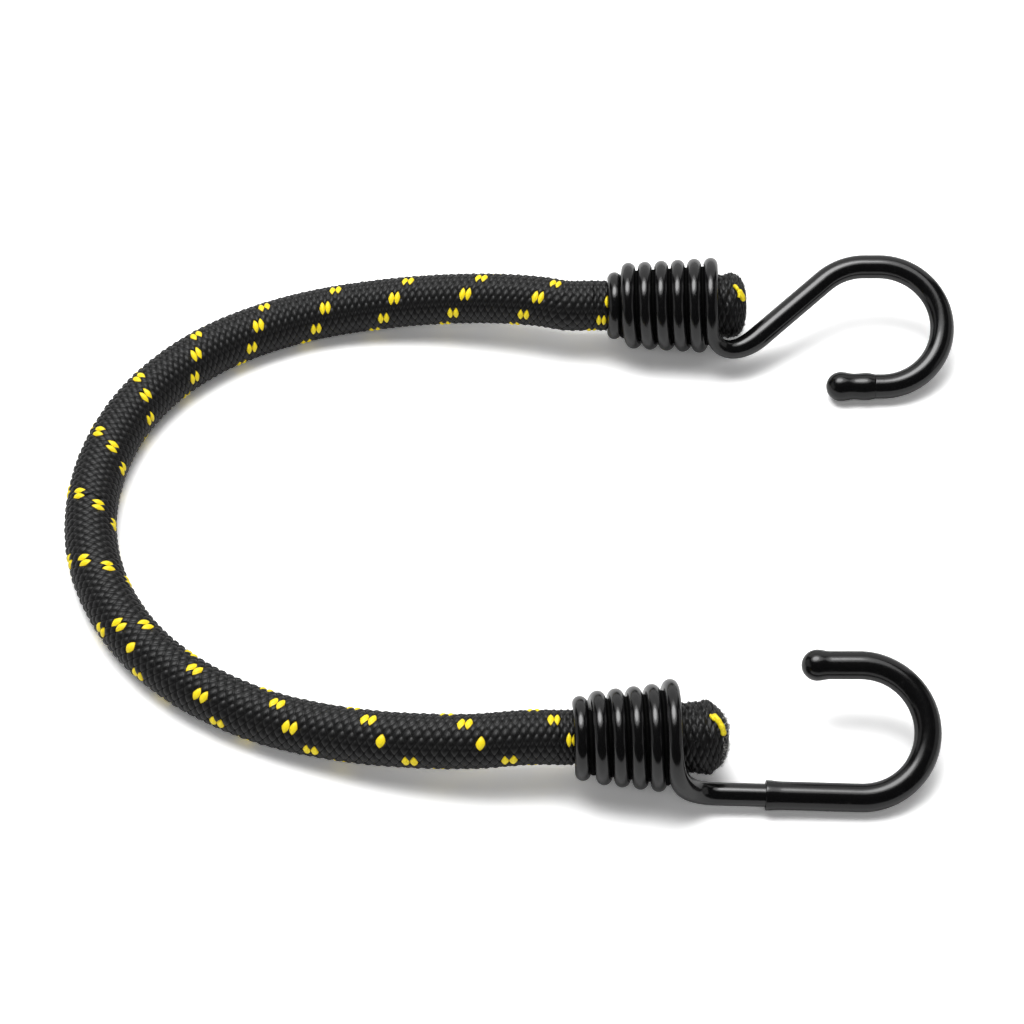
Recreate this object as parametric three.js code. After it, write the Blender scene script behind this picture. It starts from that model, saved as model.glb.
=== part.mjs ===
// Elastic cord with two wire hooks: a braided sheath over rubber strands, each end gripped by a conical wire
// coil that runs on into a hook. The cord lies in a U on the floor, open towards +X. Millimetres, +Z up.
import * as THREE from "three";

// Cord
const cordRadius = 5;
const sheathWall = 0.85;
const lyingFlat = 0.5;
const strandGap = 0.3;
const outerStrandCount = 6;
const cordStep = 6;
const seamGap = 0.3;

// Both coils and hooks
const hookSpacing = 103;
const coilPitch = 3.25;
const coilWireRadius = 1.4;
const coilClearance = 0.3;
const steelRadius = 1.6;
const boreClearance = 0.3;
const wireStep = 2.1;
const fineStep = 0.33;
const hookTilt = THREE.MathUtils.degToRad(25);
const firstTopAngle = THREE.MathUtils.degToRad(38);
const leadInTurnShare = 0.05;
const openingTurnShare = 0.5;

// Upper hook: a coil with a small biting loop, a slanting shank, a round bend and a short dipped tip
const upper = {
  firstTopX: 19.8,
  turns: 6,
  firstLoopX: 20.25,
  firstLoopPitch: 0,
  biteRadius: 5.2,
  shoulderRadius: 7.05,
  endRadius: 8.05,
  lastLoopGrowth: 0,
  flareStartShare: 0.45,
  lean: [0.31, 0.82],
  exitTurnShare: 0.36,
  exitReach: [5.5, 6],
  thickeningRun: 14,
  wireRadius: 2.3,
  shankStart: [48.75, -6.45],
  shankSlope: THREE.MathUtils.degToRad(41),
  shankLength: 17.4,
  bendRadius: 12.3,
  crownLength: 2.8,
  tipLength: 8,
  coverLength: 9.6,
  coverRadius: 2.7,
  coverLip: 0.15,
  ballRadius: 2.95,
  mouthLength: 4,
  stubRadius: 6.3,
  stubEndX: 46.4,
};

// Lower hook: a coil whose first turn fits the cord, a straight shank and a sleeve from the shank to the tip
const lower = {
  firstTopX: 12,
  turns: 5,
  firstLoopX: 12.1,
  firstLoopPitch: 1.2,
  biteRadius: 6,
  shoulderRadius: 6.95,
  endRadius: 8.55,
  lastLoopGrowth: 0.5,
  flareStartShare: 0.1,
  lean: [0.18, 0.09],
  exitTurnShare: 0.28,
  exitReach: [6, 7],
  thickeningRun: 11,
  wireRadius: 2.1,
  shankStart: [37, -9.75],
  shankSlope: THREE.MathUtils.degToRad(-1.6),
  shankLength: 25.4,
  bendRadius: 12.05,
  tipLength: 7.6,
  coverLength: 65.7,
  coverRadius: 2.5,
  coverLip: 0.25,
  ballRadius: 2.85,
  mouthLength: 3.8,
  stubRadius: 6.5,
  stubEndX: 38.7,
};

// The free cord between the coils, seen from above: x, y and how much of the climb to the coils' axis is done
const freeRoute = [
  [6, 52.6, 0.98],
  [0, 53.7, 0.89],
  [-8, 54.85, 0.7],
  [-17, 55.55, 0.46],
  [-27, 55.45, 0.22],
  [-36, 54.45, 0.06],
  [-44, 52.35, 0],
  [-52.4, 48.75, 0],
  [-60.4, 43.85, 0],
  [-68.2, 36.65, 0],
  [-74.4, 27.65, 0],
  [-78.5, 16.75, 0],
  [-80.1, 4.85, 0],
  [-78.8, -7.15, 0],
  [-74.6, -18.15, 0],
  [-68.4, -27.35, 0],
  [-60.7, -34.65, 0],
  [-52.2, -40.05, 0],
  [-43.6, -43.95, 0.03],
  [-34.6, -46.95, 0.18],
  [-25.5, -49.35, 0.41],
  [-16.4, -50.95, 0.65],
  [-7.4, -51.85, 0.86],
  [-1, -51.75, 0.97],
];

// How finely the round forms are cut
const wireSides = 8;
const strandSides = 6;
const freeSheathSides = 12;
const endSheathSides = 16;
const pointsPerTurn = 96;
const exitPoints = 40;
const routePoints = 600;
const domeAngles = [70, 45, 20];
const ballAngles = [110, 90, 65, 40, 20];

const quarterTurn = Math.PI / 2;
const fullTurn = 2 * Math.PI;
const coilAxisHeight = Math.max(upper.endRadius, lower.endRadius) + coilWireRadius;
const lyingHeight = cordRadius - lyingFlat;
const boreRadius = steelRadius + boreClearance;
const across = new THREE.Vector3(0, Math.cos(hookTilt), Math.sin(hookTilt));
const outOfPlane = new THREE.Vector3(0, -Math.sin(hookTilt), Math.cos(hookTilt));
const alongX = new THREE.Vector3(1, 0, 0);
const upwards = new THREE.Vector3(0, 0, 1);

const rubber = new THREE.MeshStandardMaterial({ color: 0xb9ab8c, roughness: 0.8, metalness: 0 });
const braid = new THREE.MeshStandardMaterial({ color: 0x18181a, roughness: 0.85, metalness: 0 });
const blackWire = new THREE.MeshStandardMaterial({ color: 0x0b0b0c, roughness: 0.28, metalness: 0.1 });
const blackVinyl = new THREE.MeshStandardMaterial({ color: 0x0d0d0e, roughness: 0.35, metalness: 0 });

function smooth(low, high, value) {
  const t = THREE.MathUtils.clamp((value - low) / (high - low), 0, 1);
  return t * t * (3 - 2 * t);
}

function evenly(from, to, step) {
  const count = Math.max(1, Math.round((to - from) / step));
  return Array.from({ length: count + 1 }, (_, i) => from + ((to - from) * i) / count);
}

function inRadians(degrees) {
  return degrees.map((angle) => THREE.MathUtils.degToRad(angle));
}

// A line through many points, with its length measured along it. Its cross direction turns as little as it
// can from point to point, or is kept upwards for something that lies flat.
class Path {
  constructor(points, keepUpwards = false) {
    this.points = points;
    this.along = [0];
    for (let i = 1; i < points.length; i++) {
      this.along.push(this.along[i - 1] + points[i].distanceTo(points[i - 1]));
    }
    this.length = this.along[points.length - 1];
    this.tangents = points.map((_, i) => {
      const before = points[Math.max(i - 1, 0)];
      const after = points[Math.min(i + 1, points.length - 1)];
      return after.clone().sub(before).normalize();
    });
    const square = (v, tangent) => v.clone().addScaledVector(tangent, -v.dot(tangent)).normalize();
    this.sides = [square(upwards, this.tangents[0])];
    for (let i = 1; i < points.length; i++) {
      this.sides.push(square(keepUpwards ? upwards : this.sides[i - 1], this.tangents[i]));
    }
  }

  at(distance) {
    const inside = THREE.MathUtils.clamp(distance, 0, this.length);
    let low = 0;
    let high = this.along.length - 1;
    while (high - low > 1) {
      const middle = (low + high) >> 1;
      if (this.along[middle] <= inside) low = middle;
      else high = middle;
    }
    const share = (inside - this.along[low]) / (this.along[high] - this.along[low]);
    const tangent = this.tangents[low].clone().lerp(this.tangents[high], share).normalize();
    const side = this.sides[low].clone().lerp(this.sides[high], share);
    side.addScaledVector(tangent, -side.dot(tangent)).normalize();
    const point = this.points[low].clone().lerp(this.points[high], share);
    point.addScaledVector(tangent, distance - inside);
    return { point, side, other: tangent.clone().cross(side) };
  }
}

// A closed body swept along a path. Each step of the profile is a distance along the path, a radius there and
// how far the ring is shifted sideways. A radius of zero is a single point. A profile that goes out and back
// again leaves a bore, and one that closes on itself is open at both ends.
function swept(path, profile, sides, { closesOnItself = false, shiftTo = [0, 0], onFloor = false } = {}) {
  const positions = [];
  const rings = profile.map(([distance, radius, shift = 0]) => {
    const { point, side, other } = path.at(distance);
    point.addScaledVector(side, shiftTo[0] * shift).addScaledVector(other, shiftTo[1] * shift);
    const count = radius > 0 ? sides : 1;
    const first = positions.length / 3;
    for (let k = 0; k < count; k++) {
      const angle = ((k + 0.5) / sides) * fullTurn;
      const corner = point
        .clone()
        .addScaledVector(side, Math.cos(angle) * radius)
        .addScaledVector(other, Math.sin(angle) * radius);
      if (onFloor) corner.z = Math.max(corner.z, 0);
      positions.push(corner.x, corner.y, corner.z);
    }
    return { first, count };
  });
  const faces = [];
  const bands = closesOnItself ? rings.length : rings.length - 1;
  for (let i = 0; i < bands; i++) {
    const a = rings[i];
    const b = rings[(i + 1) % rings.length];
    for (let k = 0; k < sides; k++) {
      const next = (k + 1) % sides;
      const [a0, a1] = [a.first + (a.count > 1 ? k : 0), a.first + (a.count > 1 ? next : 0)];
      const [b0, b1] = [b.first + (b.count > 1 ? k : 0), b.first + (b.count > 1 ? next : 0)];
      if (a.count > 1) faces.push(a0, a1, b1);
      if (b.count > 1) faces.push(a0, b1, b0);
    }
  }
  const geometry = new THREE.BufferGeometry();
  geometry.setAttribute("position", new THREE.Float32BufferAttribute(positions, 3));
  geometry.setIndex(faces);
  geometry.computeVertexNormals();
  return geometry;
}

// The conical coil, counted in turns from the top of its first loop. Its loops lean towards the mouth at the
// front, but the first one, which bites the cord, stands squarer to it and swings out at the back.
function coilPoint(hook, axisY, turn) {
  const flare = smooth(hook.flareStartShare, 1, turn) * (hook.shoulderRadius - hook.biteRadius);
  const cone = (Math.max(turn - 1, 0) / (hook.turns - 1)) * (hook.endRadius - hook.shoulderRadius);
  const opening = smooth(hook.turns - openingTurnShare, hook.turns, turn) * hook.lastLoopGrowth;
  const radius = hook.biteRadius + flare + cone + opening;
  const angle = turn * fullTurn;
  const lean = hook.lean[0] * (1 - Math.cos(angle)) + hook.lean[1] * Math.sin(angle);
  const leaningX = hook.firstTopX + turn * coilPitch - lean;
  const squareX = hook.firstLoopX + turn * hook.firstLoopPitch;
  return new THREE.Vector3(
    THREE.MathUtils.lerp(squareX, leaningX, smooth(0.5, 1, turn)),
    axisY + radius * Math.cos(firstTopAngle + angle),
    coilAxisHeight + radius * Math.sin(firstTopAngle + angle),
  );
}

// A point in the tilted plane of a hook: x, and the distance across it from the coil's axis
function inHookPlane(axisY, planeOffset, x, b) {
  const point = new THREE.Vector3(x, axisY, coilAxisHeight);
  return point.addScaledVector(across, b).addScaledVector(outOfPlane, planeOffset);
}

// The wire's line: along the coil, off its last turn and on through straights and bends in the hook's plane
function hookPath(hook, axisY, planeOffset, moves) {
  const lastTurn = hook.turns + hook.exitTurnShare;
  const turnSteps = evenly(-leadInTurnShare, lastTurn, 1 / pointsPerTurn);
  const points = turnSteps.map((turn) => coilPoint(hook, axisY, turn));
  const coilPoints = points.length;
  const leaving = points[coilPoints - 1].clone().sub(points[coilPoints - 2]).normalize();
  let [x, b] = hook.shankStart;
  let direction = hook.shankSlope;
  const start = inHookPlane(axisY, planeOffset, x, b);
  const into = across.clone().multiplyScalar(Math.sin(direction)).addScaledVector(alongX, Math.cos(direction));
  const exit = new THREE.CubicBezierCurve3(
    points[coilPoints - 1],
    points[coilPoints - 1].clone().addScaledVector(leaving, hook.exitReach[0]),
    start.clone().addScaledVector(into, -hook.exitReach[1]),
    start,
  );
  points.push(...exit.getPoints(exitPoints).slice(1));
  const exitEnd = points.length - 1;
  for (const { straight = 0, turn = 0 } of moves) {
    const bend = Math.sign(turn) * hook.bendRadius;
    const from = [x, b];
    for (const done of evenly(0, 1, fineStep / (straight + turn * bend)).slice(1)) {
      const turned = direction + turn * done;
      x = from[0] + Math.cos(direction) * straight * done + bend * (Math.sin(turned) - Math.sin(direction));
      b = from[1] + Math.sin(direction) * straight * done - bend * (Math.cos(turned) - Math.cos(direction));
      points.push(inHookPlane(axisY, planeOffset, x, b));
    }
    direction += turn;
  }
  const path = new Path(points);
  path.coilEnd = path.along[coilPoints - 1];
  path.exitEnd = path.along[exitEnd];
  return path;
}

// The coated wire thickens as it leaves the coil
function wireRadiusAt(hook, path, distance) {
  const grown = smooth(path.coilEnd, path.coilEnd + hook.thickeningRun, distance);
  return coilWireRadius + (hook.wireRadius - coilWireRadius) * grown;
}

// The wire goes on as bare steel inside the sleeve or cap
function hookWire(hook, path, coverStart) {
  const shoulder = coverStart - boreClearance;
  const wireEnd = path.length - boreClearance;
  const outside = evenly(0, shoulder, wireStep).map((d) => [d, wireRadiusAt(hook, path, d)]);
  const inside = evenly(shoulder, wireEnd, wireStep).map((d) => [d, steelRadius]);
  return swept(path, [[0, 0], ...outside, ...inside, [wireEnd, 0]], wireSides);
}

// A sleeve or cap over the wire's end: a blind bore, a thicker lip at its mouth and a ball at its tip
function hookCover(hook, path, coverStart) {
  const { coverRadius, coverLip, ballRadius } = hook;
  const ballCentre = path.length;
  const bore = evenly(coverStart, ballCentre, wireStep).map((d) => [d, boreRadius]);
  const neck = ballCentre - Math.sqrt(ballRadius ** 2 - coverRadius ** 2);
  const wall = evenly(coverStart + 2 * coverLip, neck, wireStep).map((d) => [d, coverRadius]);
  const ball = inRadians(ballAngles).map((angle) => [
    ballCentre + ballRadius * Math.cos(angle),
    ballRadius * Math.sin(angle),
  ]);
  const mouth = [
    [coverStart, coverRadius],
    [coverStart + coverLip, coverRadius + coverLip],
  ];
  const outside = [...mouth, ...wall, ...ball, [ballCentre + ballRadius, 0]];
  return swept(path, [[ballCentre, 0], ...bore.reverse(), ...outside], wireSides);
}

// Places along the cord's end: it is squeezed by the first loop, swells behind it and ends in a domed stub
function endPlaces(hook) {
  const mouth = hook.firstTopX - hook.mouthLength;
  const squeezed = hook.firstLoopX - leadInTurnShare * hook.firstLoopPitch - coilClearance;
  const swelling = hook.firstTopX + coilPitch / 2 + coilWireRadius;
  const swollen = swelling + coilWireRadius;
  const coilEnd = hook.firstTopX + hook.turns * coilPitch;
  const dome = hook.stubEndX - hook.stubRadius / 2;
  return { mouth, squeezed, swelling, swollen, coilEnd, dome };
}

function endRadiusAt(hook, x) {
  const places = endPlaces(hook);
  const fitInside = (loopRadius) => loopRadius - coilWireRadius - coilClearance;
  const neckRadius = Math.min(cordRadius, fitInside(hook.biteRadius));
  const squeezed = cordRadius + (neckRadius - cordRadius) * smooth(places.mouth, places.squeezed, x);
  const shoulderFit = fitInside(hook.shoulderRadius);
  const endFit = Math.min(fitInside(hook.endRadius), hook.stubRadius);
  const behind = Math.max(x - places.swollen, 0) / (places.coilEnd - places.swollen);
  const grown = Math.min(shoulderFit + (endFit - shoulderFit) * behind, endFit);
  const swollen = squeezed + (grown - squeezed) * smooth(places.swelling, places.swollen, x);
  const stub = smooth(places.coilEnd + coilWireRadius, places.coilEnd + 2 * coilWireRadius, x);
  return swollen + (hook.stubRadius - swollen) * stub;
}

function cordEndPath(hook, axisY) {
  const { mouth } = endPlaces(hook);
  const steps = evenly(mouth, hook.stubEndX, coilWireRadius);
  return new Path(
    steps.map((x) => new THREE.Vector3(x, axisY, coilAxisHeight)),
    true,
  );
}

// Distances along a cord end at which its form is taken
function cordEndSteps(hook) {
  const { mouth, squeezed, swelling, swollen, dome } = endPlaces(hook);
  const steps = [
    ...evenly(mouth, squeezed, sheathWall),
    swelling,
    (swelling + swollen) / 2,
    ...evenly(swollen, dome, 2 * coilPitch),
  ];
  return steps.map((x) => Math.max(x - mouth, seamGap / 2));
}

function cordEndSheath(hook, path) {
  const { mouth } = endPlaces(hook);
  const steps = cordEndSteps(hook);
  const outer = steps.map((d) => [d, endRadiusAt(hook, mouth + d)]);
  const inner = outer.map(([d, r]) => [d, r - sheathWall]).reverse();
  const last = steps[steps.length - 1];
  const dome = inRadians(domeAngles).map((angle) => [
    last + (path.length - last) * Math.cos(angle),
    hook.stubRadius * Math.sin(angle),
  ]);
  return swept(path, [[last, 0], ...inner, ...outer, ...dome, [path.length, 0]], endSheathSides);
}

// One rubber strand of the bundle that fills a sheath: the first lies in the middle, the others round it
function strand(path, steps, sheathRadiusAt, index) {
  const profile = steps.map((d) => {
    const radius = (sheathRadiusAt(d) - sheathWall - 2 * strandGap) / 3;
    return [d, radius, 2 * radius + strandGap];
  });
  const [first, last] = [profile[0], profile[profile.length - 1]];
  const angle = ((index - 1) / outerStrandCount) * fullTurn;
  const shiftTo = index === 0 ? [0, 0] : [Math.cos(angle), Math.sin(angle)];
  return swept(path, [[first[0], 0, first[2]], ...profile, [last[0], 0, last[2]]], strandSides, { shiftTo });
}

function freeCordPath() {
  const climb = coilAxisHeight - lyingHeight;
  const mouthPoints = [upper, lower].map((hook, i) => {
    const y = i === 0 ? upperY : lowerY;
    const { mouth } = endPlaces(hook);
    return [mouth, mouth - cordRadius].map((x) => new THREE.Vector3(x, y, coilAxisHeight));
  });
  const route = freeRoute.map(([x, y, share]) => new THREE.Vector3(x, y, lyingHeight + share * climb));
  const points = [...mouthPoints[0], ...route, ...mouthPoints[1].reverse()];
  const curve = new THREE.CatmullRomCurve3(points, false, "centripetal");
  return new Path(curve.getSpacedPoints(routePoints), true);
}

// The least distance between the surfaces of neighbouring turns of one coil
function leastGap(path, hook) {
  const places = evenly(0, path.exitEnd, fineStep).map((distance) => ({
    point: path.at(distance).point,
    radius: wireRadiusAt(hook, path, distance),
    distance,
  }));
  let least = Infinity;
  for (const a of places) {
    for (const b of places) {
      if (b.distance - a.distance < hook.biteRadius * Math.PI) continue;
      least = Math.min(least, a.point.distanceTo(b.point) - a.radius - b.radius);
    }
  }
  return least;
}

const model = new THREE.Group();
const upperY = hookSpacing / 2;
const lowerY = -hookSpacing / 2;

function add(name, geometry, material) {
  const mesh = new THREE.Mesh(geometry, material);
  mesh.name = name;
  model.add(mesh);
}

// Free cord
const freePath = freeCordPath();
const freeSteps = evenly(seamGap / 2, freePath.length - seamGap / 2, cordStep);
const freeOuter = freeSteps.map((d) => [d, cordRadius]);
const freeInner = freeSteps.map((d) => [d, cordRadius - sheathWall]).reverse();
const freeSheath = [...freeOuter, ...freeInner];
add("sheath", swept(freePath, freeSheath, freeSheathSides, { closesOnItself: true, onFloor: true }), braid);
for (let i = 0; i <= outerStrandCount; i++) {
  const freeStrand = strand(freePath, freeSteps, () => cordRadius, i);
  add(`rubber_strand_${i + 1}`, freeStrand, rubber);
}

// Cord ends inside the coils
for (const [name, hook, axisY] of [
  ["upper", upper, upperY],
  ["lower", lower, lowerY],
]) {
  const path = cordEndPath(hook, axisY);
  add(`${name}_sheath_end`, cordEndSheath(hook, path), braid);
  const steps = cordEndSteps(hook);
  steps[steps.length - 1] -= strandGap;
  const sheathRadiusAt = (d) => endRadiusAt(hook, endPlaces(hook).mouth + d);
  for (let i = 0; i <= outerStrandCount; i++) {
    add(`${name}_strand_end_${i + 1}`, strand(path, steps, sheathRadiusAt, i), rubber);
  }
}

// Upper hook: its tip lies on the floor
const shankRise = upper.shankLength * Math.sin(upper.shankSlope);
const crownRise = upper.bendRadius * (1 - Math.cos(upper.shankSlope));
const tipAcross = upper.shankStart[1] + shankRise + crownRise - 2 * upper.bendRadius;
const upperLift = upper.ballRadius - coilAxisHeight - tipAcross * Math.sin(hookTilt);
const upperPath = hookPath(upper, upperY, upperLift / Math.cos(hookTilt), [
  { straight: upper.shankLength },
  { turn: -upper.shankSlope },
  { straight: upper.crownLength },
  { turn: -2 * quarterTurn },
  { straight: upper.tipLength },
]);
const capStart = upperPath.length + upper.ballRadius - upper.coverLength;
add("upper_hook_wire", hookWire(upper, upperPath, capStart), blackWire);
add("upper_hook_tip_cap", hookCover(upper, upperPath, capStart), blackVinyl);

// Lower hook: its shank and sleeve lie on the floor
const shankDrop = lower.shankLength * Math.sin(lower.shankSlope);
const sleeveAcross = lower.shankStart[1] + shankDrop;
const lowerLift = lower.coverRadius + lower.coverLip - coilAxisHeight - sleeveAcross * Math.sin(hookTilt);
const lowerPath = hookPath(lower, lowerY, lowerLift / Math.cos(hookTilt), [
  { straight: lower.shankLength },
  { turn: 2 * quarterTurn - lower.shankSlope },
  { straight: lower.tipLength },
]);
const sleeveStart = lowerPath.length + lower.ballRadius - lower.coverLength;
add("lower_hook_wire", hookWire(lower, lowerPath, sleeveStart), blackWire);
add("lower_hook_sleeve", hookCover(lower, lowerPath, sleeveStart), blackVinyl);

console.log(`free cord ${freePath.length.toFixed(1)} mm`);
console.log(`least gap between turns: upper coil ${leastGap(upperPath, upper).toFixed(2)} mm`);
console.log(`least gap between turns: lower coil ${leastGap(lowerPath, lower).toFixed(2)} mm`);

// The model's origin is on the floor under the middle of the two hooks
const hooks = new THREE.Box3();
for (const mesh of model.children) {
  if (mesh.name.includes("hook")) hooks.expandByObject(mesh);
}
const middle = hooks.getCenter(new THREE.Vector3());
model.position.set(-middle.x, -middle.y, 0);

const part = new THREE.Group();
part.add(model);

export default part;
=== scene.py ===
"""Bungee cord: a braided elastic cord that lies in a U, with a dipped wire hook at each end."""

import math
from types import SimpleNamespace

import bpy
import numpy as np
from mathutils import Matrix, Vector


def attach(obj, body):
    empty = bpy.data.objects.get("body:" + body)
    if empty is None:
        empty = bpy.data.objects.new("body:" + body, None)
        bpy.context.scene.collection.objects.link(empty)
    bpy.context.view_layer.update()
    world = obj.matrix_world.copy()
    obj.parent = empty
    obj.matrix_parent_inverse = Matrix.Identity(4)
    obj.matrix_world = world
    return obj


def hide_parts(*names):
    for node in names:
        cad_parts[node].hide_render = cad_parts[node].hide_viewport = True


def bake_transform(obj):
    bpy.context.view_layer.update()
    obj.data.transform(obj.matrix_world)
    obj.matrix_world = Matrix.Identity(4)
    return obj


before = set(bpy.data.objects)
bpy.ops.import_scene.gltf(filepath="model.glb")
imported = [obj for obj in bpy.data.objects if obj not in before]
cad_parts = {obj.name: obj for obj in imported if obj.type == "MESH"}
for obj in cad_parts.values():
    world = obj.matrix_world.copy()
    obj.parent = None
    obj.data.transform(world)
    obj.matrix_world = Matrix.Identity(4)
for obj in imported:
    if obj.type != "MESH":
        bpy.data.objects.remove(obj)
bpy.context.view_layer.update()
scene = bpy.context.scene
bpy.ops.object.select_all(action="DESELECT")

MM = 0.001
FULL_TURN = 2 * math.pi
# The lines are laid out from an origin between the coils. The frame's origin is on the floor,
# under the middle of the hooks.
SHIFT = np.array([-48.98836, 0.58734, 0]) * MM

LOOKED_AT = Vector((-48.99 * MM, 7.9517 * MM, 0))
CAMERA_OFFSET = Vector((0, -387.56 * MM, 496.05 * MM))
CAMERA_TILT = math.radians(38)
CAMERA_LENS = 115.17

# The cord. Its middle lies LYING_FLAT lower than its radius, because it is soft. STRAND_GAP lies
# between the strands of the core, and SEAM_GAP between the free strands and the gripped ones.
CORD_RADIUS = 5 * MM
SHEATH_WALL = 0.85 * MM
LYING_FLAT = 0.5 * MM
STRAND_GAP = 0.3 * MM
STRANDS = 7
STRAND_SIDES = 12
SEAM_GAP = 0.15 * MM

# The coils. COIL_WIRE is the radius of the coated wire there. A coil's turns are counted from
# FIRST_TOP, an angle round the cord, and the wire starts LEAD_IN turns before it. Painted shade: a
# dull, near-black bridge fills the gaps between the turns at BRIDGE_DEPTH below the middle of the
# wire.
COIL_PITCH = 3.25 * MM
COIL_WIRE = 1.43 * MM
COIL_HEIGHT = 9.95 * MM
FIRST_TOP = math.radians(38)
LEAD_IN = 0.05
GRIP_GAP = 0.1 * MM
BRIDGE_DEPTH = 0.6 * MM
BRIDGE_OVERLAP = 0.1 * MM

# The hooks. CORE_WIRE is the radius of the bare wire inside a cap or sleeve, and the wire's line is
# cut into these pieces: in each turn, off the coil, in each move, and in mm past the tip.
CORE_WIRE = 1.75 * MM
TURN_PIECES, EXIT_PIECES, MOVE_PIECES, PAST_TIP = 96, 40, 79, 5
HOOK_TILT = math.radians(25)
ACROSS = np.array([0, math.cos(HOOK_TILT), math.sin(HOOK_TILT)])
OUT_OF_PLANE = np.array([0, -math.sin(HOOK_TILT), math.cos(HOOK_TILT)])
ALONG_X = np.array([1.0, 0, 0])
UP = np.array([0, 0, 1.0])

# Each hook, with the cord's end that it grips. Its coil goes from the radius of its bite by way of
# a shoulder to its end, and leaves the last turn after the share called leaving. A lump of the cut
# end is given by its depth past the mouth in mm, its degrees round the cord, its height and length
# in mm, and its width in degrees.
upper = SimpleNamespace(
    name="upper",
    axis=51.5 * MM,
    first_top=19.8 * MM,
    turns=6,
    first_loop_x=20.25 * MM,
    first_loop_pitch=0,
    bite=5.2 * MM,
    shoulder=7.05 * MM,
    end=8.05 * MM,
    growth=0,
    flare_start=0.45,
    lean=(0.31 * MM, 0.82 * MM),
    leaving=0.36,
    exit_reach=(5.5 * MM, 6 * MM),
    thickening=14 * MM,
    shank_start=(48.75 * MM, -6.45 * MM),
    shank_slope=math.radians(41),
    shank_length=17.4 * MM,
    bend=12.3 * MM,
    crown=2.8 * MM,
    tip=8 * MM,
    ball=2.95 * MM,
    cover=9.6 * MM,
    mouth=15.8 * MM,
    stub=6.25 * MM,
    stub_end=46.4 * MM,
    dome=2.6 * MM,
    lumps=[
        (27.5, 45, 0.4, 1.1, 20), (25.6, 50, -0.2, 0.8, 24),
        (29.5, -60, 0.3, 1.6, 22), (26.5, -100, 0.2, 1.4, 20),
    ],
)
lower = SimpleNamespace(
    name="lower",
    axis=-51.5 * MM,
    first_top=12 * MM,
    turns=5,
    first_loop_x=12.1 * MM,
    first_loop_pitch=1.2 * MM,
    bite=6 * MM,
    shoulder=6.95 * MM,
    end=8.55 * MM,
    growth=0.5 * MM,
    flare_start=0.1,
    lean=(0.18 * MM, 0.09 * MM),
    leaving=0.28,
    exit_reach=(6 * MM, 7 * MM),
    thickening=11 * MM,
    shank_start=(37 * MM, -9.75 * MM),
    shank_slope=math.radians(-1.6),
    shank_length=25.4 * MM,
    bend=12.05 * MM,
    tip=7.6 * MM,
    ball=2.85 * MM,
    cover=65.7 * MM,
    mouth=8.2 * MM,
    stub=6.3 * MM,
    stub_end=38.7 * MM,
    dome=4.3 * MM,
    lumps=[
        (26.4, -50, 0.75, 1.1, 22), (24.0, -52, 0.2, 0.9, 20),
        (28.5, 30, 0.25, 1.6, 24), (27.0, 110, 0.35, 1.8, 30),
    ],
)

# The free cord seen from above: x and y in mm, and how much of the climb to the coils' axis is done
FREE_ROUTE = [
    (6, 52.6, 0.98), (0, 53.7, 0.89), (-8, 54.85, 0.7), (-17, 55.55, 0.46),
    (-27, 55.45, 0.22), (-36, 54.45, 0.06), (-44, 52.35, 0), (-52.4, 48.75, 0),
    (-60.4, 43.85, 0), (-68.2, 36.65, 0), (-74.4, 27.65, 0), (-78.5, 16.75, 0),
    (-80.1, 4.85, 0), (-78.8, -7.15, 0), (-74.6, -18.15, 0), (-68.4, -27.35, 0),
    (-60.7, -34.65, 0), (-52.2, -40.05, 0), (-43.6, -43.95, 0.03), (-34.6, -46.95, 0.18),
    (-25.5, -49.35, 0.41), (-16.4, -50.95, 0.65), (-7.4, -51.85, 0.86), (-1, -51.75, 0.97),
]


def smooth(low, high, value):
    """Goes from 0 at low to 1 at high, with no kink at either."""
    t = np.clip((value - low) / (high - low), 0, 1)
    return t * t * (3 - 2 * t)


# ---- camera


def set_camera():
    bpy.ops.object.camera_add(location=LOOKED_AT + CAMERA_OFFSET, rotation=(CAMERA_TILT, 0, 0))
    camera = bpy.context.object
    camera.data.sensor_width = 36
    camera.data.lens = CAMERA_LENS
    scene.camera = camera
    camera.select_set(False)


set_camera()


# ---- the cord's line


class Line:
    """A line through many points, measured along it from a start."""

    def __init__(self, points, start=0.0):
        self.points = np.array(points)
        steps = np.linalg.norm(np.diff(self.points, axis=0), axis=1)
        self.along = start + np.concatenate([[0], np.cumsum(steps)])
        self.start, self.end = self.along[0], self.along[-1]
        ahead = np.gradient(self.points, axis=0)
        self.ahead = ahead / np.linalg.norm(ahead, axis=1)[:, None]

    def at(self, distance):
        """The point at a distance and the two directions across the line, the upward one first."""

        def between(values):
            columns = [np.interp(distance, self.along, values[:, i]) for i in range(3)]
            return np.stack(columns, axis=-1)

        ahead = between(self.ahead)
        ahead /= np.linalg.norm(ahead, axis=-1)[..., None]
        side = UP - ahead * (ahead @ UP)[..., None]
        side /= np.linalg.norm(side, axis=-1)[..., None]
        return between(self.points), side, np.cross(ahead, side)


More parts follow.
